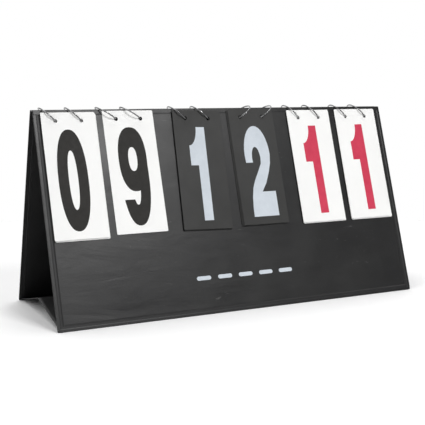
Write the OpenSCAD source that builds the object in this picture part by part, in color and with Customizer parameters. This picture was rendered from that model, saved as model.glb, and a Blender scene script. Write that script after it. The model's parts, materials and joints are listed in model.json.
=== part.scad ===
// Tabletop flip scoreboard. Two covered panels stand as a tent, joined by a narrow
// spine, and six sets of number cards hang on loose-leaf rings over the top edge.
// Millimetres. X runs along the board, the front faces -Y and the floor is z = 0.

/* [Panels] */
// Length of the board
board_w = 600; // [580:5:640]
// Height of a panel along its face, flange included
panel_h = 315; // [305:1:330]
// Angle of each panel from the vertical
lean = 18.5; // [17:0.5:20]
// Outside width of the spine
spine_d = 14; // [13:0.5:16]
// Thickness of one sheet of cover material
cover_t = 0.8; // [0.6:0.1:0.9]
// Thickness of the stiff board inside a panel
core_t = 2.4; // [2:0.1:2.6]
// Width of the welded flange around a panel
flange_w = 7; // [6:0.5:8]
// Radius of the lower corners
corner_r = 2.5; // [2:0.5:4]
// Radius of the holes that the rings pass through
panel_hole_r = 5.5; // [5:0.25:6]

/* [Gusset] */
// Height of the floor gusset's middle crease when the board stands open
crease_z = 24.5; // [20:0.5:30]
// Gap between the gusset's ends and the board's ends
gusset_inset = 4; // [3:1:10]

/* [Cards] */
// Width of a card
card_w = 79.5; // [76:0.5:82]
// Height of a card
card_h = 184.5; // [178:0.5:188]
// Thickness of a card
card_t = 0.35; // [0.25:0.05:0.35]
// Distance from one card in a pack to the next
card_pitch = 0.4; // [0.4:0.05:0.45]
// Distance between a card's two holes
hole_gap = 38.5; // [36:0.5:42]
// Radius of a card's holes
card_hole_r = 3; // [2.5:0.25:3.25]
// Distance from a card's top edge down to its holes
hole_in = 12.5; // [10:0.5:14]
// Thickness of the printed ink
ink_t = 0.1; // [0.05:0.05:0.1]

/* [Rings] */
// Radius of a ring at the middle of its wire
ring_r = 18; // [17.5:0.25:18.5]
// Radius of the ring wire
wire_r = 1; // [0.8:0.1:1]
// Gap between the spine and the ring that leans on it
ring_gap = 2; // [2:0.5:3]

/* [Hidden] */
$fn = 48;

// Card sets, left to right
HOME_TENS = 0;
HOME_UNITS = 1;
SETS_HOME = 2;
SETS_GUEST = 3;
GUEST_TENS = 4;
GUEST_UNITS = 5;
SETS = [HOME_TENS, HOME_UNITS, SETS_HOME, SETS_GUEST, GUEST_TENS, GUEST_UNITS];
set_x = [-251, -158, -48, 47.5, 153, 245];
front_count = [10, 1, 9, 8, 9, 9];
back_count = [0, 9, 1, 2, 1, 1];
hole_drop = [17, 14.5, 16.5, 15.5, 18, 17.5];
ring_side = [1, 1, 1, -1, 1, 1];
card_tilt = [0, 0, 2, 0, 0, 0];

panel_t = 2 * cover_t + core_t;
base_d = spine_d + 2 * panel_h * sin(lean);
top_z = panel_h * cos(lean);
pack_gap = 0.1;
board_gap = 0.1;
groove_w = 1.6;
groove_depth = 0.4;
spine_gap = 0.2;
spine_half = spine_d / 2 - 2 * cover_t - spine_gap;
spine_board_t = 1.2;

WHITE = [0.96, 0.96, 0.94];
DARK_CARD = [0.24, 0.24, 0.24];
CHARCOAL = [0.2, 0.19, 0.18];
PALE = [0.82, 0.85, 0.88];
CRIMSON = [0.8, 0.24, 0.33];
VINYL = [0.17, 0.17, 0.18];
STEEL = [0.78, 0.79, 0.8];

// ---- Frames of the two panels ----

// Local x is along the board, y is depth into the panel, z is up its face
module on_front() {
    translate([0, -base_d / 2, 0]) rotate([-lean, 0, 0]) children();
}

module on_back() {
    mirror([0, 1, 0]) on_front() children();
}

// A flat outline as a sheet that starts at a depth in the panel
module sheet(depth, thick) {
    translate([0, depth + thick, 0]) rotate([90, 0, 0]) linear_extrude(thick) children();
}

module above_floor() {
    intersection() {
        children();
        translate([-board_w, -base_d, 0]) cube([2 * board_w, 2 * base_d, 2 * panel_h]);
    }
}

// The panel's outline, drawn in by a margin, with round lower corners
module outline(margin, r) {
    half = board_w / 2 - margin;
    high = panel_h - 2 * margin;
    translate([-half, margin + r]) square([2 * half, high - r]);
    translate([-half + r, margin]) square([2 * (half - r), high]);
    for (side = [-1, 1]) translate([side * (half - r), margin + r]) circle(r = r);
}

// ---- Ring geometry ----

// Depth of the outer face of the card that shows
function face_of(s) = -(pack_gap + (front_count[s] - 1) * card_pitch + card_t);
// The level line on which a ring meets that card, front and back
function chord_v(s) = panel_h - hole_drop[s];
function chord_y(s) = -base_d / 2 + chord_v(s) * sin(lean) + face_of(s) * cos(lean);
function chord_z(s) = chord_v(s) * cos(lean) - face_of(s) * sin(lean);
function rise(s) = sqrt(ring_r * ring_r - chord_y(s) * chord_y(s));
// A ring leans until its top rests over the spine
function tip(s) = acos((top_z + wire_r + ring_gap - chord_z(s)) / (ring_r + rise(s)));
// Where the wire crosses a depth of the front panel, as a turn about the ring's centre
function wire_k(s) = base_d / 2 * cos(lean)
    - (chord_z(s) + rise(s) * cos(tip(s))) * sin(lean);
function wire_m(s) = sqrt(pow(cos(lean), 2) + pow(cos(tip(s)) * sin(lean), 2));
function wire_turn(s, w) = atan2(cos(tip(s)) * sin(lean), cos(lean)) - 180
    - asin((w - wire_k(s)) / (ring_r * wire_m(s)));
function wire_out(s, w) = rise(s) + ring_r * cos(wire_turn(s, w));
function wire_x(s, w) = set_x[s] - ring_side[s] * sin(tip(s)) * wire_out(s, w);
function wire_v(s, w) = (ring_r * sin(wire_turn(s, w)) + base_d / 2) * sin(lean)
    + (chord_z(s) + cos(tip(s)) * wire_out(s, w)) * cos(lean);

// Holes for all twelve rings, drawn on a panel's face
module ring_holes() {
    for (s = SETS) for (side = [-1, 1])
        translate([wire_x(s, panel_t / 2) + side * hole_gap / 2, wire_v(s, panel_t / 2)])
            circle(r = panel_hole_r);
}

// A ring's own frame: x is towards the back, y is towards its top
module on_ring(s, side) {
    translate([set_x[s] + side * hole_gap / 2, 0, chord_z(s)])
        rotate([0, -ring_side[s] * tip(s), 0])
            translate([0, 0, rise(s)]) rotate([90, 0, 90]) children();
}

// ---- Panel covers and boards ----

module outer_cover() {
    difference() {
        sheet(0, cover_t) outline(0, corner_r);
        sheet(-1, 1 + groove_depth) difference() {
            outline(flange_w - groove_w, corner_r);
            outline(flange_w, corner_r);
        }
        sheet(-1, panel_t) ring_holes();
    }
}

module board() {
    sheet(cover_t, core_t) difference() {
        outline(flange_w + cover_t + board_gap, corner_r);
        ring_holes();
    }
}

// The lining is welded to the outer cover at its rim and wraps the board's edges
module inner_cover() {
    difference() {
        union() {
            sheet(cover_t, cover_t) outline(0, corner_r);
            sheet(cover_t, panel_t - cover_t) outline(flange_w, corner_r);
        }
        sheet(0, cover_t + core_t) outline(flange_w + cover_t, corner_r);
        sheet(0, panel_t + 1) ring_holes();
    }
}

// The gusset hangs on a welt inside each panel's lower flange
hem_low = 1.6;
hem_high = 3.2;
fold_v = 4;
fold_w = panel_t + cover_t;
hem_t = fold_w - 2.5 * cover_t;

module gusset_hem() {
    half = board_w / 2 - gusset_inset;
    sheet(2 * cover_t, hem_t) translate([-half, hem_low]) square([2 * half, hem_high - hem_low]);
}

module front_outer_cover() { color(VINYL) above_floor() on_front() outer_cover(); }
module front_board() { color("tan") above_floor() on_front() board(); }
module front_inner_cover() { color(VINYL) above_floor() on_front() inner_cover(); }
module front_gusset_hem() { color(VINYL) on_front() gusset_hem(); }
module back_outer_cover() { color(VINYL) above_floor() on_back() outer_cover(); }
module back_board() { color("tan") above_floor() on_back() board(); }
module back_inner_cover() { color(VINYL) above_floor() on_back() inner_cover(); }
module back_gusset_hem() { color(VINYL) on_back() gusset_hem(); }

// ---- Spine ----

module strip(half_x, half_y, low, high) {
    translate([-half_x, -half_y, top_z - low]) cube([2 * half_x, 2 * half_y, low - high]);
}

spine_board_x = board_w / 2 - flange_w - cover_t;
spine_t = 2 * cover_t + spine_board_t;

module spine_cover() { color(VINYL) strip(board_w / 2, spine_half, cover_t, 0); }

module spine_board() {
    color("tan") strip(spine_board_x - board_gap, spine_half - cover_t, cover_t + spine_board_t, cover_t);
}

module spine_lining() {
    color(VINYL) difference() {
        union() {
            strip(board_w / 2, spine_half, 2 * cover_t, cover_t);
            strip(board_w / 2 - flange_w, spine_half, spine_t, cover_t);
        }
        strip(spine_board_x, spine_half - cover_t, cover_t + spine_board_t, 0);
    }
}

// ---- Floor gusset ----

fold_y = -base_d / 2 + fold_v * sin(lean) + fold_w * cos(lean);
fold_z = fold_v * cos(lean) - fold_w * sin(lean);
crease_gap = 0.3;
gusset_len = sqrt(fold_y * fold_y + pow(crease_z - fold_z, 2)) - crease_gap;
gusset_rise = atan2(crease_z - fold_z, -fold_y);

module gusset_half() {
    long = board_w - 2 * gusset_inset;
    translate([-long / 2, fold_y, fold_z]) rotate([gusset_rise, 0, 0]) {
        translate([0, 0, -cover_t / 2]) cube([long, gusset_len, cover_t]);
        rotate([0, 90, 0]) cylinder(r = cover_t / 2, h = long);
    }
}

module gusset_front_half() { color(VINYL) gusset_half(); }
module gusset_back_half() { color(VINYL) mirror([0, 1, 0]) gusset_half(); }

// ---- A plain printed ornament on the front, with no lettering ----

mark_x = -1;
mark_v = 54;
mark_w = 175;
mark_bar = 6;
mark_space = 35;

module printed_mark() {
    bars = floor(mark_w / mark_space);
    color(PALE) on_front() sheet(-ink_t, ink_t)
        for (i = [0:bars - 1]) translate([mark_x + (i - (bars - 1) / 2) * mark_space, mark_v]) {
            translate([-mark_space / 4, -mark_bar / 2]) square([mark_space / 2, mark_bar]);
            for (side = [-1, 1]) translate([side * mark_space / 4, 0]) circle(r = mark_bar / 2);
        }
}

// ---- Cards ----

card_corner = 1.5;

module card_outline() {
    low = hole_in - card_h;
    difference() {
        union() {
            translate([-card_w / 2, low + card_corner]) square([card_w, card_h - 2 * card_corner]);
            translate([-card_w / 2 + card_corner, low]) square([card_w - 2 * card_corner, card_h]);
            for (side = [-1, 1]) for (z = [low + card_corner, hole_in - card_corner])
                translate([side * (card_w / 2 - card_corner), z]) circle(r = card_corner);
        }
        for (side = [-1, 1]) translate([side * hole_gap / 2, 0]) circle(r = card_hole_r);
    }
}

// Card k of a pack, counted from the panel, hung where the wire passes its depth
module card_place(s, k) {
    depth = -(pack_gap + k * card_pitch + card_t / 2);
    translate([wire_x(s, depth), depth, wire_v(s, depth)])
        rotate([0, card_tilt[s], 0]) children();
}

module card(s, k) {
    card_place(s, k) sheet(-card_t / 2, card_t) card_outline();
}

module showing_card(s) { on_front() card(s, front_count[s] - 1); }
module front_cards(s) { on_front() for (k = [0:front_count[s] - 2]) card(s, k); }
module back_cards(s) { on_back() for (k = [0:back_count[s] - 1]) card(s, k); }

module home_tens_card() { color(WHITE) showing_card(HOME_TENS); }
module home_units_card() { color(WHITE) showing_card(HOME_UNITS); }
module sets_home_card() { color(DARK_CARD) showing_card(SETS_HOME); }
module sets_guest_card() { color(DARK_CARD) showing_card(SETS_GUEST); }
module guest_tens_card() { color(WHITE) showing_card(GUEST_TENS); }
module guest_units_card() { color(WHITE) showing_card(GUEST_UNITS); }

module home_tens_front_cards() { color(WHITE) front_cards(HOME_TENS); }
module sets_home_front_cards() { color(DARK_CARD) front_cards(SETS_HOME); }
module sets_guest_front_cards() { color(DARK_CARD) front_cards(SETS_GUEST); }
module guest_tens_front_cards() { color(WHITE) front_cards(GUEST_TENS); }
module guest_units_front_cards() { color(WHITE) front_cards(GUEST_UNITS); }

module home_units_back_cards() { color(WHITE) back_cards(HOME_UNITS); }
module sets_home_back_cards() { color(DARK_CARD) back_cards(SETS_HOME); }
module sets_guest_back_cards() { color(DARK_CARD) back_cards(SETS_GUEST); }
module guest_tens_back_cards() { color(WHITE) back_cards(GUEST_TENS); }
module guest_units_back_cards() { color(WHITE) back_cards(GUEST_UNITS); }

// ---- Numerals: x from the numeral's middle, y up from its foot ----

tall = 145;
wide = 44;
ARC_STEPS = 16;

function arc(centre, rx, ry, from, to) = [
    for (i = [0:ARC_STEPS])
        centre + [rx * cos(from + (to - from) * i / ARC_STEPS),
                  ry * sin(from + (to - from) * i / ARC_STEPS)]
];

// An oval a little squarer than an ellipse
oval_power = 2.3;
function bend(c) = sign(c) * pow(abs(c), 2 / oval_power);
module oval(centre, rx, ry) {
    translate(centre)
        polygon([for (a = [0:6:354]) [rx * bend(cos(a)), ry * bend(sin(a))]]);
}

// Nought and nine stand a little taller than the other numerals
round_tall = 148;
bowl_tall = 97;
counter_rx = 6.8;
counter_edge = 31;

module zero() {
    difference() {
        oval([0, round_tall / 2], wide / 2, round_tall / 2);
        oval([0, round_tall / 2], counter_rx, round_tall / 2 - counter_edge);
    }
}

module nine() {
    tail_cut = 39;
    difference() {
        union() {
            difference() {
                zero();
                translate([-wide, tail_cut]) square([wide, round_tall]);
            }
            oval([0, round_tall - bowl_tall / 2], wide / 2, bowl_tall / 2);
        }
        oval([0, round_tall - bowl_tall / 2], counter_rx, 18);
    }
}

module one() {
    stem = 15;
    flag = 12.5;
    flag_top = 116;
    flag_foot = 85;
    translate([-4.5, 0]) polygon(concat(
        [[0, 0], [stem, 0], [stem, tall]],
        arc([-flag, tall], flag + 1, tall - flag_top, 0, -90),
        [[-flag, flag_foot], [0, flag_foot]]
    ));
}

module two() {
    bar = 39;
    cut = 86;
    polygon(concat(
        [[-22, 0], [22, 0], [22, bar], [-1.3, bar], [7.8, 53], [15, 70], [19.4, 84]],
        arc([-1, 98], 22.4, 47, 0, 180),
        [[-22.6, cut], [-10.6, cut]],
        arc([-3.6, 92], 7.4, 19, 180, 0),
        [[3, 84], [-3.4, 72], [-11.4, 58], [-16.6, 46], [-19.8, 31], [-21.6, 14]]
    ));
}

// A numeral stands a margin above the foot of the card that shows
module numeral(s, shift, margin) {
    on_front() card_place(s, front_count[s] - 1)
        sheet(-card_t / 2 - ink_t, ink_t)
            translate([shift, hole_in - card_h + margin]) children();
}

module home_tens_numeral() { color(CHARCOAL) numeral(HOME_TENS, -2.5, 11) zero(); }
module home_units_numeral() { color(CHARCOAL) numeral(HOME_UNITS, -1.1, 11) nine(); }
module sets_home_numeral() { color(PALE) numeral(SETS_HOME, 0, 13) one(); }
module sets_guest_numeral() { color(PALE) numeral(SETS_GUEST, 2, 12) two(); }
module guest_tens_numeral() { color(CRIMSON) numeral(GUEST_TENS, 0, 13) one(); }
module guest_units_numeral() { color(CRIMSON) numeral(GUEST_UNITS, 0, 13) one(); }

// ---- Loose-leaf rings: a fixed half through the panels and a hinged outer half ----

eye_r = 2;
pin_r = 0.6;
pin_play = 0.06;
eye_t = 1.6;
ear_t = 0.7;
ear_gap = 0.1;
bridge_len = 5;
clasp_r = 0.5;
clasp_len = 0.8;
clasp_gap = 0.15;

// Half of the wire ring, from a start angle through a sweep
module wire(start, sweep) {
    rotate([0, 0, start]) rotate_extrude(angle = sweep) translate([ring_r, 0]) circle(r = wire_r, $fn = 24);
}

module ear(z) {
    translate([ring_r, 0, z]) linear_extrude(ear_t) {
        circle(r = eye_r);
        translate([-eye_r, -bridge_len]) square([2 * eye_r, bridge_len]);
    }
}

module fixed_half() {
    turn = bridge_len / ring_r * 180 / PI;
    wire(180, 180 - turn);
    translate([ring_r - eye_r, -bridge_len - eye_r, -eye_t / 2 - ear_gap - ear_t])
        cube([2 * eye_r, eye_r, eye_t + 2 * (ear_gap + ear_t)]);
    ear(eye_t / 2 + ear_gap);
    ear(-eye_t / 2 - ear_gap - ear_t);
    translate([-ring_r, 0, 0]) rotate([-90, 0, 0]) cylinder(r = clasp_r, h = clasp_len, $fn = 24);
}

module fixed_half_bored() {
    difference() {
        fixed_half();
        translate([ring_r, 0, -eye_r * 2]) cylinder(r = pin_r, h = eye_r * 4, $fn = 24);
    }
}

module hinge_pin() {
    half = eye_t / 2 + ear_gap + ear_t + 0.1;
    translate([ring_r, 0, -half]) cylinder(r = pin_r, h = 2 * half, $fn = 24);
}

module outer_half() {
    closing = clasp_gap / ring_r * 180 / PI;
    socket_r = clasp_r + 0.15;
    difference() {
        union() {
            wire(0, 180 - closing);
            translate([ring_r, 0, -eye_t / 2]) cylinder(r = eye_r, h = eye_t, $fn = 24);
        }
        translate([ring_r, 0, -eye_r]) cylinder(r = pin_r + pin_play, h = 2 * eye_r, $fn = 24);
        translate([-ring_r, -1, 0]) rotate([-90, 0, 0])
            cylinder(r = socket_r, h = 1 + 2 * clasp_len, $fn = 24);
        translate([ring_r, 0, eye_t / 2]) cylinder(r = eye_r + ear_gap, h = wire_r);
        translate([ring_r, 0, -eye_t / 2 - wire_r]) cylinder(r = eye_r + ear_gap, h = wire_r);
    }
}

module ring_pair(s) {
    color(STEEL) for (side = [-1, 1]) on_ring(s, side) fixed_half_bored();
}

module gate(s, side) { color(STEEL) on_ring(s, side) outer_half(); }

module home_tens_rings() { ring_pair(HOME_TENS); }
module home_units_rings() { ring_pair(HOME_UNITS); }
module sets_home_rings() { ring_pair(SETS_HOME); }
module sets_guest_rings() { ring_pair(SETS_GUEST); }
module guest_tens_rings() { ring_pair(GUEST_TENS); }
module guest_units_rings() { ring_pair(GUEST_UNITS); }

module ring_pins() {
    color(STEEL) for (s = SETS) for (side = [-1, 1]) on_ring(s, side) hinge_pin();
}

front_outer_cover();
front_board();
front_inner_cover();
front_gusset_hem();
back_outer_cover();
back_board();
back_inner_cover();
back_gusset_hem();
spine_cover();
spine_board();
spine_lining();
gusset_front_half();
gusset_back_half();
printed_mark();
home_tens_rings();
home_units_rings();
sets_home_rings();
sets_guest_rings();
guest_tens_rings();
guest_units_rings();
ring_pins();
gate(HOME_TENS, -1);  // home_tens_gate_left
gate(HOME_TENS, 1);  // home_tens_gate_right
gate(HOME_UNITS, -1);  // home_units_gate_left
gate(HOME_UNITS, 1);  // home_units_gate_right
gate(SETS_HOME, -1);  // sets_home_gate_left
gate(SETS_HOME, 1);  // sets_home_gate_right
gate(SETS_GUEST, -1);  // sets_guest_gate_left
gate(SETS_GUEST, 1);  // sets_guest_gate_right
gate(GUEST_TENS, -1);  // guest_tens_gate_left
gate(GUEST_TENS, 1);  // guest_tens_gate_right
gate(GUEST_UNITS, -1);  // guest_units_gate_left
gate(GUEST_UNITS, 1);  // guest_units_gate_right
home_tens_card();
home_units_card();
sets_home_card();
sets_guest_card();
guest_tens_card();
guest_units_card();
home_tens_numeral();
home_units_numeral();
sets_home_numeral();
sets_guest_numeral();
guest_tens_numeral();
guest_units_numeral();
home_tens_front_cards();
sets_home_front_cards();
sets_guest_front_cards();
guest_tens_front_cards();
guest_units_front_cards();
home_units_back_cards();
sets_home_back_cards();
sets_guest_back_cards();
guest_tens_back_cards();
guest_units_back_cards();
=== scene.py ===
"""The looks of a tabletop flip scoreboard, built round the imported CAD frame. Metres, +Z up."""

import json
import math

import bmesh
import bpy
import numpy as np
from mathutils import Matrix, Vector, noise


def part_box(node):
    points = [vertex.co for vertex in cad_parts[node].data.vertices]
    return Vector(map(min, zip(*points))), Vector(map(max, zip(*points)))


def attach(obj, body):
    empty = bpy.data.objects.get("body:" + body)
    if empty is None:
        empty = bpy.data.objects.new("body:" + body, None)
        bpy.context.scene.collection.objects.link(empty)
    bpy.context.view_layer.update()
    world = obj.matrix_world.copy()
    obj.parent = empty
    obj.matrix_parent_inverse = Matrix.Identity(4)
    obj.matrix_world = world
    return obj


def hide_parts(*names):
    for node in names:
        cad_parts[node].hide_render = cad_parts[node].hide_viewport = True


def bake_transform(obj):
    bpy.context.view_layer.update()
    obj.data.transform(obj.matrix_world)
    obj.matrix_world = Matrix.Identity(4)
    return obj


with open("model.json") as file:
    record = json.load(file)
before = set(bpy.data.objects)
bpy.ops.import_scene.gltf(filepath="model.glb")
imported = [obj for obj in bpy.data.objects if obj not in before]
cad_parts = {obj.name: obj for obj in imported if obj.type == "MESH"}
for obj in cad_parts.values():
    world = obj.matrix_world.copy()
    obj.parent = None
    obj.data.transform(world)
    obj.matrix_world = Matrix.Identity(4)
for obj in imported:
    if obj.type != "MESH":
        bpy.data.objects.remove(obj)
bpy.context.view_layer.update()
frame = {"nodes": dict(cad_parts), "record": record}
NODES = frame["nodes"]

MM = 0.001
SETS = ("home_tens", "home_units", "sets_home", "sets_guest", "guest_tens", "guest_units")

# ---- Measures taken from the frame ----

FRONT_LOW, FRONT_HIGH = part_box("front_outer_cover")
BACK_LOW, BACK_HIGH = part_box("back_outer_cover")
HALF_W = FRONT_HIGH[0]
TOP_Z = FRONT_HIGH[2]
BASE_D = BACK_HIGH[1] - FRONT_LOW[1]
SKIN_T = 0.5 * MM
FLANGE_W = 7 * MM
GROOVE_W = 1.6 * MM
LEAN = math.radians(18.5)
PANEL_H = TOP_Z / math.cos(LEAN)
FRONT_SEED = 2.3
BACK_SEED = 7.7


# ---- Node materials ----

# The colour sockets of a Mix node, which share their names with its number and vector sockets
MIX_FACTOR, MIX_A, MIX_B, MIX_RESULT = 0, 6, 7, 2


class Shader:
    """A Principled material and short names for the nodes that feed it."""

    def __init__(self, name, **values):
        self.material = bpy.data.materials.new(name)
        self.material.use_nodes = True
        self.tree = self.material.node_tree
        self.surface = self.tree.nodes["Principled BSDF"]
        self.place = self.node("ShaderNodeTexCoord").outputs["Object"]
        for socket, value in values.items():
            self.surface.inputs[socket.replace("_", " ")].default_value = value

    def node(self, kind, **settings):
        made = self.tree.nodes.new(kind)
        for key, value in settings.items():
            setattr(made, key, value)
        return made

    def link(self, source, target):
        self.tree.links.new(source, target)

    def stretched(self, scale):
        """The object's coordinates, scaled along each axis."""
        mapping = self.node("ShaderNodeMapping")
        mapping.inputs["Scale"].default_value = scale
        self.link(self.place, mapping.inputs["Vector"])
        return mapping.outputs["Vector"]

    def noise(self, scale, detail=3.0, roughness=0.5, distortion=0.0, stretch=None):
        made = self.node("ShaderNodeTexNoise")
        made.inputs["Scale"].default_value = scale
        made.inputs["Detail"].default_value = detail
        made.inputs["Roughness"].default_value = roughness
        made.inputs["Distortion"].default_value = distortion
        self.link(self.stretched(stretch) if stretch else self.place, made.inputs["Vector"])
        return made.outputs["Fac"]

    def cells(self, scale):
        made = self.node("ShaderNodeTexVoronoi")
        made.inputs["Scale"].default_value = scale
        self.link(self.place, made.inputs["Vector"])
        return made.outputs["Distance"]

    def ramp(self, source, *stops):
        """A colour ramp; each stop is (position, colour or grey)."""
        made = self.node("ShaderNodeValToRGB")
        elements = made.color_ramp.elements
        while len(elements) < len(stops):
            elements.new(0.5)
        for element, (position, value) in zip(elements, stops):
            element.position = position
            colour = (value,) * 3 if isinstance(value, (int, float)) else value
            element.color = (*colour, 1)
        self.link(source, made.inputs["Fac"])
        return made.outputs["Color"]

    def mix(self, factor, below, colour):
        """A plain colour laid over another by a mask."""
        made = self.node("ShaderNodeMix", data_type="RGBA")
        self.link(factor, made.inputs[MIX_FACTOR])
        self.link(below, made.inputs[MIX_A])
        made.inputs[MIX_B].default_value = (*colour, 1)
        return made.outputs[MIX_RESULT]

    def bump(self, height, strength, distance, under=None):
        made = self.node("ShaderNodeBump")
        made.inputs["Strength"].default_value = strength
        made.inputs["Distance"].default_value = distance
        self.link(height, made.inputs["Height"])
        if under:
            self.link(under, made.inputs["Normal"])
        return made.outputs["Normal"]

    def feed(self, socket, source):
        self.link(source, self.surface.inputs[socket])


def leathercloth(name, dark, light, low_gloss, high_gloss, scuffs):
    """Black PVC leathercloth: fine pebble grain, soft creases, clouded sheen and pale scuffs."""
    shader = Shader(name)
    clouds = shader.noise(7, detail=4, roughness=0.6)
    base = shader.ramp(clouds, (0.3, dark), (0.7, light))
    if scuffs:
        rubs = shader.noise(85, detail=6, roughness=0.75, distortion=1.5, stretch=(0.35, 1, 1))
        mask = shader.ramp(rubs, (0.64, 0.0), (0.74, scuffs))
        base = shader.mix(mask, base, (0.22, 0.22, 0.215))
    shader.feed("Base Color", base)
    shader.feed("Roughness", shader.ramp(shader.noise(16, detail=5, roughness=0.65),
                                         (0.3, low_gloss), (0.72, high_gloss)))
    grain = shader.bump(shader.cells(1100), 0.35, 0.00012)
    pores = shader.bump(shader.noise(420, detail=4, roughness=0.7), 0.3, 0.00025, grain)
    creases = shader.bump(shader.noise(22, detail=3, distortion=0.8, stretch=(0.5, 1, 1.6)),
                          0.24, 0.0018, pores)
    shader.feed("Normal", creases)
    return shader.material


def card_stock(name, dark, light, gloss):
    """Smooth coated card with a faint tone drift, fingerprints in its gloss and a fine tooth."""
    shader = Shader(name, Specular_IOR_Level=0.3)
    shader.feed("Base Color", shader.ramp(shader.noise(9, detail=3), (0.3, dark), (0.75, light)))
    shader.feed("Roughness", shader.ramp(shader.noise(45, detail=5, roughness=0.65),
                                         (0.3, gloss), (0.75, gloss + 0.14)))
    tooth = shader.bump(shader.noise(1500, detail=2), 0.12, 0.00006)
    shader.feed("Normal", shader.bump(shader.noise(12, detail=2), 0.12, 0.0012, tooth))
    return shader.material


def printed_ink(name, dark, light, gloss=0.55):
    """Screen-printed ink: slightly mottled, with a dry grain."""
    shader = Shader(name, Specular_IOR_Level=0.2)
    mottle = shader.noise(60, detail=5, roughness=0.7)
    shader.feed("Base Color", shader.ramp(mottle, (0.28, dark), (0.75, light)))
    shader.feed("Roughness", shader.ramp(shader.noise(160, detail=3), (0.3, gloss), (0.7, gloss + 0.12)))
    shader.feed("Normal", shader.bump(shader.noise(1300, detail=2), 0.18, 0.00008))
    return shader.material


def nickel_wire(name):
    """Bright nickel-plated wire with fine drawing lines and dull patches."""
    shader = Shader(name, Metallic=1.0)
    shader.feed("Base Color", shader.ramp(shader.noise(130, detail=3),
                                          (0.3, (0.13, 0.13, 0.133)), (0.7, (0.38, 0.38, 0.385))))
    shader.feed("Roughness", shader.ramp(shader.noise(260, detail=4, roughness=0.7),
                                         (0.3, 0.08), (0.75, 0.22)))
    shader.feed("Normal", shader.bump(shader.noise(1800, detail=2), 0.1, 0.00004))
    return shader.material


def greyboard(name):
    """Pressed grey board: fibres and flecks."""
    shader = Shader(name)
    fibres = shader.noise(300, detail=6, roughness=0.8, stretch=(0.3, 1, 1))
    shader.feed("Base Color", shader.ramp(fibres, (0.3, (0.24, 0.21, 0.17)), (0.7, (0.42, 0.38, 0.32))))
    shader.feed("Roughness", shader.ramp(fibres, (0.3, 0.8), (0.7, 0.95)))
    shader.feed("Normal", shader.bump(fibres, 0.4, 0.0002))
    return shader.material


MATERIALS = {
    "cover_vinyl": leathercloth("cover_vinyl", (0.008, 0.008, 0.0085), (0.015, 0.015, 0.0148),
                                0.35, 0.47, 0.4),
    "lining_vinyl": leathercloth("lining_vinyl", (0.006, 0.006, 0.0065), (0.012, 0.012, 0.0122),
                                 0.44, 0.6, 0.1),
    "greyboard": greyboard("greyboard"),
    "white_card": card_stock("white_card", (0.90, 0.90, 0.885), (0.95, 0.95, 0.935), 0.5),
    "dark_card": card_stock("dark_card", (0.032, 0.032, 0.031), (0.043, 0.043, 0.042), 0.5),
    "charcoal_ink": printed_ink("charcoal_ink", (0.022, 0.021, 0.019), (0.030, 0.028, 0.026)),
    "pale_ink": printed_ink("pale_ink", (0.56, 0.61, 0.66), (0.64, 0.69, 0.74)),
    "crimson_ink": printed_ink("crimson_ink", (0.56, 0.040, 0.085), (0.66, 0.060, 0.110)),
    "ring_wire": nickel_wire("ring_wire"),
}


def dress(piece, slot):
    piece.data.materials.clear()
    piece.data.materials.append(MATERIALS[slot])


SLOTS = {part["node"]: part["material_slot"] for part in frame["record"]["subparts"]}
for node_name, slot_name in SLOTS.items():
    dress(NODES[node_name], slot_name)


# ---- Floor, light and camera ----

FLOOR_RADIUS = 0.95
FLOOR_DROP = 0.2 * MM
KEY_PLACE, KEY_TARGET, KEY_SIZE, KEY_POWER = (0.3, -1.75, 1.55), (-0.1, 0, 0.15), (0.7, 0.55), 25.5
TOP_PLACE, TOP_TARGET, TOP_SIZE, TOP_POWER = (0, 0.4, 2.6), (0, 0, 0), (2.2, 2.2), 28
DARK_SIDE = (0.35, -0.80, 0.45)
DARK_TONE = (0.12, 0.12, 0.125, 1)
WHITE = (1, 1, 1, 1)
CAMERA_PLACE, CAMERA_TARGET, CAMERA_LENS = (-0.6312, -1.2478, 0.3306), (-0.0127, 0, 0.1344), 75.07


def stage_floor():
    bpy.ops.mesh.primitive_circle_add(vertices=96, radius=FLOOR_RADIUS, fill_type="NGON",
                                      location=(0, 0, -FLOOR_DROP))
    floor = bpy.context.object
    floor.name = "floor"
    shader = Shader("floor_paper", Roughness=0.95, Specular_IOR_Level=0.1)
    shader.feed("Base Color", shader.ramp(shader.noise(3, detail=2), (0.2, 0.95), (0.8, 0.97)))
    floor.data.materials.append(shader.material)


def turn_towards(thing, target):
    thing.rotation_euler = (Vector(target) - thing.location).to_track_quat("-Z", "Y").to_euler()


def area_light(name, place, target, size, power):
    data = bpy.data.lights.new(name, "AREA")
    data.shape = "RECTANGLE"
    data.size, data.size_y = size
    data.energy = power
    light = bpy.data.objects.new(name, data)
    light.location = place
    turn_towards(light, target)
    bpy.context.scene.collection.objects.link(light)


def stage_lights():
    """A soft key, whose sheen lies over the upper left, and a wide light overhead."""
    area_light("key", KEY_PLACE, KEY_TARGET, KEY_SIZE, KEY_POWER)
    area_light("overhead", TOP_PLACE, TOP_TARGET, TOP_SIZE, TOP_POWER)


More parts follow.
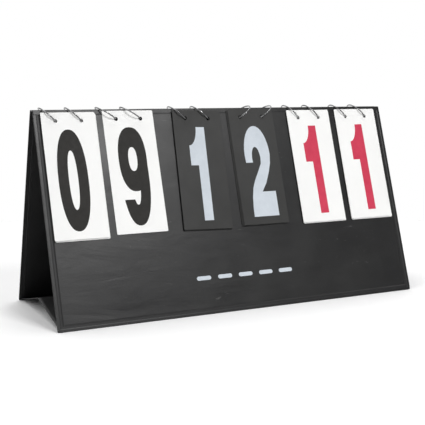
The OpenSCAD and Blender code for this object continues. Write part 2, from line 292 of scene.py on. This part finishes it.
def stage_dome():
    """A white dome with one dark side. It is a plain white backdrop where it is seen directly."""
    world = bpy.data.worlds.new("studio")
    world.use_nodes = True
    tree = world.node_tree
    sky = tree.nodes["Background"]
    place = tree.nodes.new("ShaderNodeTexCoord")
    towards = tree.nodes.new("ShaderNodeVectorMath")
    towards.operation = "DOT_PRODUCT"
    towards.inputs[1].default_value = Vector(DARK_SIDE).normalized()
    fade = tree.nodes.new("ShaderNodeValToRGB")
    bright, dark = fade.color_ramp.elements
    bright.position, bright.color = 0.15, WHITE
    dark.position, dark.color = 0.7, DARK_TONE
    tree.links.new(place.outputs["Generated"], towards.inputs[0])
    tree.links.new(towards.outputs["Value"], fade.inputs["Fac"])
    ray = tree.nodes.new("ShaderNodeLightPath")
    backdrop = tree.nodes.new("ShaderNodeMix")
    backdrop.data_type = "RGBA"
    backdrop.inputs[MIX_B].default_value = WHITE
    tree.links.new(ray.outputs["Is Camera Ray"], backdrop.inputs[MIX_FACTOR])
    tree.links.new(fade.outputs["Color"], backdrop.inputs[MIX_A])
    tree.links.new(backdrop.outputs[MIX_RESULT], sky.inputs["Color"])
    sky.inputs["Strength"].default_value = 1.0
    bpy.context.scene.world = world


def stage_camera():
    data = bpy.data.cameras.new("camera")
    data.lens = CAMERA_LENS
    data.sensor_width = 36
    camera = bpy.data.objects.new("camera", data)
    camera.location = CAMERA_PLACE
    turn_towards(camera, CAMERA_TARGET)
    bpy.context.scene.collection.objects.link(camera)
    bpy.context.scene.camera = camera


stage_floor()
stage_lights()
stage_dome()
stage_camera()
bpy.context.scene.view_settings.view_transform = "Standard"


# ---- Helpers that make meshes ----

def mesh_object(name, verts, faces, smooth=True):
    mesh = bpy.data.meshes.new(name)
    mesh.from_pydata([tuple(v) for v in verts], [], faces)
    mesh.validate()
    if smooth:
        mesh.shade_smooth()
    made = bpy.data.objects.new(name, mesh)
    bpy.context.scene.collection.objects.link(made)
    return made


def grid_faces(rows, columns, flipped):
    """The quads of a grid of points that is listed row by row."""
    corners = (0, 1, columns + 1, columns)
    if flipped:
        corners = corners[::-1]
    return [tuple(j * columns + i + corner for corner in corners)
            for j in range(rows - 1) for i in range(columns - 1)]


def apply_modifiers(piece):
    bpy.context.view_layer.objects.active = piece
    for modifier in list(piece.modifiers):
        bpy.ops.object.modifier_apply(modifier=modifier.name)


def thicken(piece, thickness, offset):
    solid = piece.modifiers.new("thick", "SOLIDIFY")
    solid.thickness = thickness
    solid.offset = offset


def stand_on_floor(piece):
    for vertex in piece.data.vertices:
        vertex.co.z = max(vertex.co.z, 0)


def welded(mesh):
    """A mesh opened for editing, with the seams between its faces joined."""
    bm = bmesh.new()
    bm.from_mesh(mesh)
    bmesh.ops.remove_doubles(bm, verts=bm.verts, dist=1e-6)
    return bm


def close(bm, piece):
    bm.to_mesh(piece.data)
    bm.free()


def settle(piece, slot, body, *nodes):
    """Gives a piece its finish, its body and the CAD nodes that it stands for."""
    dress(piece, slot)
    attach(piece, body)
    if nodes:
        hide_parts(*nodes)


# ---- Panel covers ----

GROOVE_DEPTH = 1.2 * MM
FLANGE_RISE = 0.9 * MM
PADDING = 0.24 * MM
TOP_DIP = 0.45 * MM
# Where the cover's profile changes: in from the rim, or down from the top for the dip
FLANGE_FADE = (FLANGE_W - GROOVE_W - 0.9 * MM, FLANGE_W - GROOVE_W * 0.7)
GROOVE_FADE = (FLANGE_W - 0.4 * MM, FLANGE_W + 2.8 * MM)
FIELD_RISE = (FLANGE_W, FLANGE_W + 14 * MM)
DIP_FADE = (5.5 * MM, 9 * MM)
CORNER_R = 6 * MM
RIM_FINE, RIM_COARSE, RIM_WIDTH = 0.7 * MM, 4 * MM, 16.8 * MM
# The ring holes are looked for in this band under the top edge, clear of the cover's outline, and
# points further apart than the gap are of separate holes
HOLE_BAND, HOLE_CLEAR, HOLE_GAP = 40 * MM, FLANGE_W + 0.5 * MM, 4 * MM
PUNCH_SIDES, PUNCH_LENGTH = 40, 12 * MM


def on_panel(back, x, up, depth):
    """A point given along the board, up the face and into the panel, in the row frame."""
    side = 1 if back else -1
    y = -BASE_D / 2 + up * math.sin(LEAN) + depth * math.cos(LEAN)
    return Vector((x, -y * side, up * math.cos(LEAN) - depth * math.sin(LEAN)))


def smooth_step(a, b, value):
    t = min(max((value - a) / (b - a), 0), 1)
    return t * t * (3 - 2 * t)


def cover_depth(x, up, seed):
    """Depth of the cover's face: a padded field, with a welded groove and a thin flange at the
    sides and foot. At the top it only dips a little, under the hinge strip."""
    rim = min(HALF_W - abs(x), up)
    from_top = PANEL_H - up
    dip = TOP_DIP * (1 - smooth_step(*DIP_FADE, from_top))
    shoulder = GROOVE_DEPTH * (1 - smooth_step(*GROOVE_FADE, rim))
    flange = -FLANGE_RISE * (1 - smooth_step(*FLANGE_FADE, rim))
    spot = Vector((x * 7, up * 9, seed))
    drape = 0.5 + 0.35 * noise.noise(spot) + 0.2 * noise.noise(spot * 3.1)
    field = smooth_step(*FIELD_RISE, min(rim, from_top))
    return max(shoulder + flange, dip) + PADDING * min(max(drape, 0), 1) * field


def grid_lines(length, margin, fine, coarse):
    """Stations along a side, close together in the margins where the rim's profile is."""
    near = list(np.arange(0, margin, fine))
    middle = list(np.linspace(margin, length - margin, max(2, int((length - 2 * margin) / coarse))))
    return near + middle + [length - v for v in reversed(near)]


def rounded(x, up, radius):
    """Draws a point in to the round lower corners of the cover."""
    corner_x = HALF_W - radius
    if abs(x) <= corner_x or up >= radius:
        return x, up
    away = Vector((abs(x) - corner_x, radius - up))
    reach = max(away.x, away.y)
    scaled = away.normalized() * reach if away.length > 0 else away
    return math.copysign(corner_x + scaled.x, x), radius - scaled.y


def hole_centres(back):
    """Where the panel's ring holes are, found from the CAD cover's own edges."""
    node = NODES["back_outer_cover" if back else "front_outer_cover"]
    points = np.array([v.co[:] for v in node.data.vertices])
    side = -1 if back else 1
    up = (points[:, 1] * side + BASE_D / 2) * math.sin(LEAN) + points[:, 2] * math.cos(LEAN)
    inner = (up > PANEL_H - HOLE_BAND) & (up < PANEL_H - HOLE_CLEAR)
    inner &= np.abs(points[:, 0]) < HALF_W - HOLE_CLEAR
    order = np.argsort(points[inner, 0])
    xs, ups = points[inner, 0][order], up[inner][order]
    groups = np.split(np.arange(len(xs)), np.flatnonzero(np.diff(xs) > HOLE_GAP) + 1)
    return [((xs[g].min() + xs[g].max()) / 2, (ups[g].min() + ups[g].max()) / 2,
             (xs[g].max() - xs[g].min()) / 2) for g in groups]


def cover_sheet(name, back):
    """One outer cover, as a padded sheet with its welded rim and the holes for the rings."""
    columns = [v - HALF_W for v in grid_lines(2 * HALF_W, RIM_WIDTH, RIM_FINE, RIM_COARSE)]
    rows = grid_lines(PANEL_H, RIM_WIDTH, RIM_FINE, RIM_COARSE)
    seed = BACK_SEED if back else FRONT_SEED
    verts = []
    for up in rows:
        for x in columns:
            px, pup = rounded(x, up, CORNER_R)
            verts.append(on_panel(back, px, pup, cover_depth(px, pup, seed)))
    sheet = mesh_object(name, verts, grid_faces(len(rows), len(columns), back))
    thicken(sheet, SKIN_T, -1)
    apply_modifiers(sheet)
    punch_holes(sheet, back)
    stand_on_floor(sheet)
    return sheet


def punch_holes(sheet, back):
    """Cuts the ring holes with round punches set square to the panel."""
    punches = bmesh.new()
    turn = Matrix.Rotation(math.pi / 2 + (LEAN if back else -LEAN), 4, "X")
    for x, up, radius in hole_centres(back):
        centre = on_panel(back, x, up, 0)
        bmesh.ops.create_cone(punches, cap_ends=True, segments=PUNCH_SIDES, radius1=radius,
                              radius2=radius, depth=PUNCH_LENGTH,
                              matrix=Matrix.Translation(centre) @ turn)
    mesh = bpy.data.meshes.new("punches")
    punches.to_mesh(mesh)
    punches.free()
    cutter = bpy.data.objects.new("punches", mesh)
    bpy.context.scene.collection.objects.link(cutter)
    cut = sheet.modifiers.new("holes", "BOOLEAN")
    cut.operation = "DIFFERENCE"
    cut.solver = "EXACT"
    cut.object = cutter
    apply_modifiers(sheet)
    bpy.data.objects.remove(cutter)


def add_covers():
    for name, back, body in (("front_cover", False, "front_panel"), ("back_cover", True, "back_panel")):
        sheet = cover_sheet(name, back)
        settle(sheet, "cover_vinyl", body, "back_outer_cover" if back else "front_outer_cover")


# ---- Hinge strips: the cover's vinyl carried over the top on to the spine ----

# The strip's section in mm: how far down the face and how deep, then how far from the middle of
# the spine and how far over it
DOWN_THE_FACE = ((6.6, 0.34), (6.2, 0.2), (4.5, 0.2), (2.6, 0.2), (1.2, 0.2), (0.5, 0.2))
OVER_THE_SPINE = ((6.85, -0.02), (6.5, 0.14), (5.9, 0.22), (5.0, 0.24), (4.3, 0.22), (3.9, 0.04))
STRIP_T = 0.2 * MM
STRIP_WAVE, STRIP_WAVE_RATE = 0.07 * MM, 30
STRIP_HALF, STRIP_COLUMNS = HALF_W - 0.4 * MM, 160


def hinge_path(x, back):
    """The strip's section from the panel's flange, over its top edge and on to the spine."""
    side = 1 if back else -1
    wave = STRIP_WAVE * noise.noise(Vector((x * STRIP_WAVE_RATE, 6.6 if back else 3.3, 0)))
    face = [on_panel(back, x, PANEL_H - down * MM, depth * MM + wave)
            for down, depth in DOWN_THE_FACE]
    return face + [Vector((x, side * out * MM, TOP_Z + over * MM + wave))
                   for out, over in OVER_THE_SPINE]


def add_hinge_strips():
    for name, back, body in (("front_hinge_strip", False, "front_panel"),
                             ("back_hinge_strip", True, "back_panel")):
        paths = [hinge_path(float(x), back)
                 for x in np.linspace(-STRIP_HALF, STRIP_HALF, STRIP_COLUMNS)]
        verts = [point for path in paths for point in path]
        strip = mesh_object(name, verts, grid_faces(len(paths), len(paths[0]), not back))
        thicken(strip, STRIP_T, -1)
        round_off = strip.modifiers.new("round", "SUBSURF")
        round_off.levels = 1
        apply_modifiers(strip)
        dress(strip, "cover_vinyl")
        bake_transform(strip)


# ---- The printed ornament ----

def panel_place(point, back=False):
    """Where a point of a panel is: along the board, up its face and depth into it."""
    y = (-point.y if back else point.y) + BASE_D / 2
    return (point.x, y * math.sin(LEAN) + point.z * math.cos(LEAN),
            y * math.cos(LEAN) - point.z * math.sin(LEAN))


def copy_of(node_name, name):
    """A copy of a CAD node that is free to be bent."""
    mesh = NODES[node_name].data.copy()
    mesh.materials.clear()
    made = bpy.data.objects.new(name, mesh)
    made.matrix_world = NODES[node_name].matrix_world
    bpy.context.scene.collection.objects.link(made)
    return made


def cut_in_rows(bm, step, along):
    """Cuts a mesh across in even rows, so that it can bend."""
    spots = [v.co.dot(along) for v in bm.verts]
    for at in np.arange(min(spots) + step, max(spots), step):
        geometry = bm.verts[:] + bm.edges[:] + bm.faces[:]
        bmesh.ops.bisect_plane(bm, geom=geometry, plane_co=along * float(at), plane_no=along, dist=1e-7)


ALONG = Vector((1, 0, 0))
FACE_UP = Vector((0, math.sin(LEAN), math.cos(LEAN)))
FACE_OUT = Vector((0, -math.cos(LEAN), math.sin(LEAN)))
MARK_LIFT = 0.02 * MM
MARK_STEP = 3 * MM


def add_mark():
    """The row of plain bars, printed on the cover's own surface."""
    mark = copy_of("printed_mark", "mark_print")
    bm = welded(mark.data)
    cut_in_rows(bm, MARK_STEP, ALONG)
    for vertex in bm.verts:
        x, up, _ = panel_place(vertex.co)
        vertex.co -= FACE_OUT * (cover_depth(x, up, FRONT_SEED) + MARK_LIFT)
    close(bm, mark)
    settle(mark, "pale_ink", "front_panel", "printed_mark")


# ---- Cards: a little curled, and the packs not quite square ----

CARD_H = 184.5 * MM
CARD_HALF = 39.75 * MM
HOLE_DROP = 12.5 * MM
TILT = {"sets_home": math.radians(2)}
# How far each set's front card stands off at its foot, and how much more at the right
CURL = {"home_tens": (0.6 * MM, 0.25), "home_units": (0.5 * MM, -0.2), "sets_home": (0.4 * MM, 0.3),
        "sets_guest": (0.55 * MM, -0.3), "guest_tens": (0.6 * MM, 0.2),
        "guest_units": (0.45 * MM, -0.25)}
BACK_CURL = (0.15 * MM, 0.2)
CURL_HALF, CURL_POWER = 40 * MM, 1.7
BOW = 0.08 * MM
# The most that a card of a pack is off its place: sideways and upwards in mm, turned in degrees
STRAY_X, STRAY_UP, STRAY_TURN = 0.35, 0.3, 0.22
# How far apart the cuts are that let a card bend: up it and across it
CARD_CUTS = (7 * MM, 10 * MM)
PACK_CUTS = (12 * MM, 20 * MM)
INK_T = 0.03 * MM
NEXT_NUMERAL = {"home_tens": "one", "sets_home": "two", "sets_guest": "three",
                "guest_tens": "two", "guest_units": "two"}


def card_offset(curl, across, down):
    """How far a card stands off, at a place across it (-1 to 1) and down from its holes (0 to 1)."""
    lift, lean_right = curl
    down = max(down, 0)
    bow = BOW * across * across * down
    return lift * down ** CURL_POWER * (1 + lean_right * across) + bow


def islands(bm):
    """The separate solids of a mesh, as lists of vertices."""
    left, found = set(bm.verts), []
    while left:
        stack, group = [left.pop()], []
        while stack:
            vertex = stack.pop()
            group.append(vertex)
            for edge in vertex.link_edges:
                other = edge.other_vert(vertex)
                if other in left:
                    left.remove(other)
                    stack.append(other)
        found.append(group)
    return found


def hole_line(set_name):
    """The x and height of the middle between a showing card's two holes."""
    low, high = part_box(f"{set_name}_card")
    corner = panel_place(Vector((0, low[1], low[2])))
    tilt = TILT.get(set_name, 0)
    up = corner[1] + (CARD_H - HOLE_DROP) * math.cos(tilt) + CARD_HALF * math.sin(tilt)
    x = (low[0] + high[0]) / 2 + (CARD_H / 2 - HOLE_DROP) * math.sin(tilt)
    return x, up


def bend_group(group, back, curl, share, hang, jitter=(0, 0, 0)):
    """Shifts and turns one card of a pack in its plane, then curls it off the panel."""
    shift_x, shift_up, turn = jitter
    outward = Vector((0, math.cos(LEAN) * (1 if back else -1), math.sin(LEAN)))
    upward = Vector((0, math.sin(LEAN) * (-1 if back else 1), math.cos(LEAN)))
    for vertex in group:
        x, up, _ = panel_place(vertex.co, back)
        across, rise = x - hang[0], up - hang[1]
        move_x = shift_x + rise * turn
        move_up = shift_up - across * turn
        lift = card_offset(curl, across / CURL_HALF, -rise / CARD_H) * share
        vertex.co += Vector((move_x, 0, 0)) + upward * move_up + outward * lift


def bent_card(node_name, set_name, slot, body):
    """A card or its numeral, curled off the panel."""
    piece = copy_of(node_name, f"{node_name}_curled")
    bm = welded(piece.data)
    cut_in_rows(bm, CARD_CUTS[0], FACE_UP)
    cut_in_rows(bm, CARD_CUTS[1], ALONG)
    bend_group(bm.verts, False, CURL[set_name], 1, hole_line(set_name))
    close(bm, piece)
    settle(piece, slot, body, node_name)


def bent_pack(node_name, set_name, back, slot):
    """A pack of cards, each hung a little differently."""
    piece = copy_of(node_name, f"{node_name}_loose")
    bm = welded(piece.data)
    cut_in_rows(bm, PACK_CUTS[0], Vector((0, -FACE_UP.y, FACE_UP.z)) if back else FACE_UP)
    cut_in_rows(bm, PACK_CUTS[1], ALONG)
    groups = islands(bm)
    groups.sort(key=lambda g: -sum(panel_place(v.co, back)[2] for v in g) / len(g))
    hands = np.random.default_rng(SETS.index(set_name) + (20 if back else 4))
    total = len(groups) + (0 if back else 1)
    curl = BACK_CURL if back else CURL[set_name]
    for k, group in enumerate(groups):
        jitter = (hands.uniform(-STRAY_X, STRAY_X) * MM, hands.uniform(-STRAY_UP, STRAY_UP) * MM,
                  math.radians(hands.uniform(-STRAY_TURN, STRAY_TURN)))
        bend_group(group, back, curl, (k + 1) / total, hole_line(set_name), jitter)
    close(bm, piece)
    settle(piece, slot, node_name, node_name)


def numeral_outline(shape):
    """A numeral of the showing cards as points (across, up, 0 or 1 for its face) and faces."""
    source = {"one": "guest_tens", "two": "sets_guest"}[shape]
    bm = welded(NODES[f"{source}_numeral"].data)
    hang = hole_line(source)
    depths = [panel_place(v.co)[2] for v in bm.verts]
    back = max(depths)
    places = []
    for vertex in bm.verts:
        x, up, depth = panel_place(vertex.co)
        places.append((x - hang[0], up - hang[1], (back - depth) / (back - min(depths))))
    faces = [[v.index for v in face.verts] for face in bm.faces]
    bm.free()
    return places, faces


def three_outline():
    """A three in the same heavy narrow style: two bowls with a notch at the left."""
    foot, tall, half, wall = -163 * MM, 145 * MM, 22 * MM, 13 * MM
    upper, lower = 0.27 * tall, 0.29 * tall

    def bowl(middle, rx, ry, start, end):
        turns = np.radians(np.linspace(start, end, 18))
        return [(rx * math.cos(t), middle + ry * math.sin(t)) for t in turns]

    low, high = foot + lower, foot + tall - upper
    outer = bowl(low, half, lower, 190, 418) + bowl(high, half * 0.95, upper, -50, 170)
    inner = (bowl(high, half - wall, upper - wall * 1.4, 170, -80)
             + bowl(low, half - wall, lower - wall * 1.4, 80, -170))
    ring = outer + inner
    count = len(ring)
    places = [(x, up, 0) for x, up in ring] + [(x, up, 1) for x, up in ring]
    faces = [list(range(count, 2 * count)), list(range(count - 1, -1, -1))]
    faces += [[i, (i + 1) % count, (i + 1) % count + count, i + count] for i in range(count)]
    return places, faces


def card_count(node_name):
    bm = welded(NODES[node_name].data)
    count = len(islands(bm))
    bm.free()
    return count


def add_next_numeral(set_name, shape, slot):
    """The numeral printed on the pack's first card, seen once the card over it has flipped."""
    places, faces = three_outline() if shape == "three" else numeral_outline(shape)
    node_name = f"{set_name}_front_cards"
    hang_x, hang_up = hole_line(set_name)
    depths = [panel_place(v.co)[2] for v in NODES[node_name].data.vertices]
    tilt = TILT.get(set_name, 0)
    verts = []
    for x, up, out in places:
        turned_x = x * math.cos(tilt) + up * math.sin(tilt)
        turned_up = up * math.cos(tilt) - x * math.sin(tilt)
        verts.append(on_panel(False, hang_x + turned_x, hang_up + turned_up,
                              min(depths) - INK_T * out))
    piece = mesh_object(f"{set_name}_next_numeral", verts, faces, smooth=False)
    bm = bmesh.new()
    bm.from_mesh(piece.data)
    bmesh.ops.triangulate(bm, faces=[f for f in bm.faces if len(f.verts) > 4])
    cut_in_rows(bm, CARD_CUTS[0], FACE_UP)
    bmesh.ops.recalc_face_normals(bm, faces=bm.faces)
    pack = card_count(node_name)
    bend_group(bm.verts, False, CURL[set_name], pack / (pack + 1), (hang_x, hang_up))
    close(bm, piece)
    settle(piece, slot, node_name)


def add_cards():
    for name in SETS:
        ink = SLOTS[f"{name}_numeral"]
        bent_card(f"{name}_card", name, SLOTS[f"{name}_card"], f"{name}_card")
        bent_card(f"{name}_numeral", name, ink, f"{name}_card")
        for side in ("front", "back"):
            pack = f"{name}_{side}_cards"
            if pack in NODES:
                bent_pack(pack, name, side == "back", SLOTS[pack])
        if name in NEXT_NUMERAL:
            add_next_numeral(name, NEXT_NUMERAL[name], ink)


# ---- The floor gusset ----

FOLD_LOW, FOLD_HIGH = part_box("gusset_front_half")
GUSSET_HALF = FOLD_HIGH[0]
GUSSET_T = 0.8 * MM
FOLD_Y = FOLD_LOW[1] + GUSSET_T / 2
FOLD_Z = FOLD_LOW[2] + GUSSET_T / 2
CREASE_Z = 24.5 * MM
CREASE_PULL, PULL_REACH = 6 * MM, 70 * MM
RIPPLE = 0.5 * MM
GUSSET_COLUMNS, GUSSET_ROWS = 120, 26


def crease_at(x):
    """The gusset's middle crease: pulled back at the left end, slightly wavy along it."""
    pull = math.exp(-((x + GUSSET_HALF) / PULL_REACH) ** 2)
    wave = RIPPLE * noise.noise(Vector((x * 11, 4.2, 0)))
    return CREASE_PULL * pull, CREASE_Z + wave


def gusset_sheet(name, back):
    """One half of the gusset, from its welt to the crease, with a slack and rippled middle."""
    columns = np.linspace(-GUSSET_HALF, GUSSET_HALF, GUSSET_COLUMNS)
    rows = np.linspace(0, 1, GUSSET_ROWS)
    side = -1 if back else 1
    verts = []
    for share in rows:
        for x in columns:
            crease_y, crease_z = crease_at(x)
            y = side * FOLD_Y + (crease_y - side * FOLD_Y) * share
            z = FOLD_Z + (crease_z - FOLD_Z) * share
            belly = math.sin(math.pi * share)
            ripple = noise.noise(Vector((x * 13, share * 2.2, 9.1 if back else 1.7)))
            z += belly * RIPPLE * (ripple - 1)
            verts.append(Vector((x, y, z)))
    sheet = mesh_object(name, verts, grid_faces(len(rows), len(columns), back))
    thicken(sheet, GUSSET_T, 0)
    apply_modifiers(sheet)
    return sheet


def add_gusset():
    for name, back, node in (("gusset_front_sheet", False, "gusset_front_half"),
                             ("gusset_back_sheet", True, "gusset_back_half")):
        sheet = gusset_sheet(name, back)
        stand_on_floor(sheet)
        settle(sheet, "lining_vinyl", "gusset_back" if back else "gusset_front", node)


add_covers()
add_hinge_strips()
add_mark()
add_cards()
add_gusset()
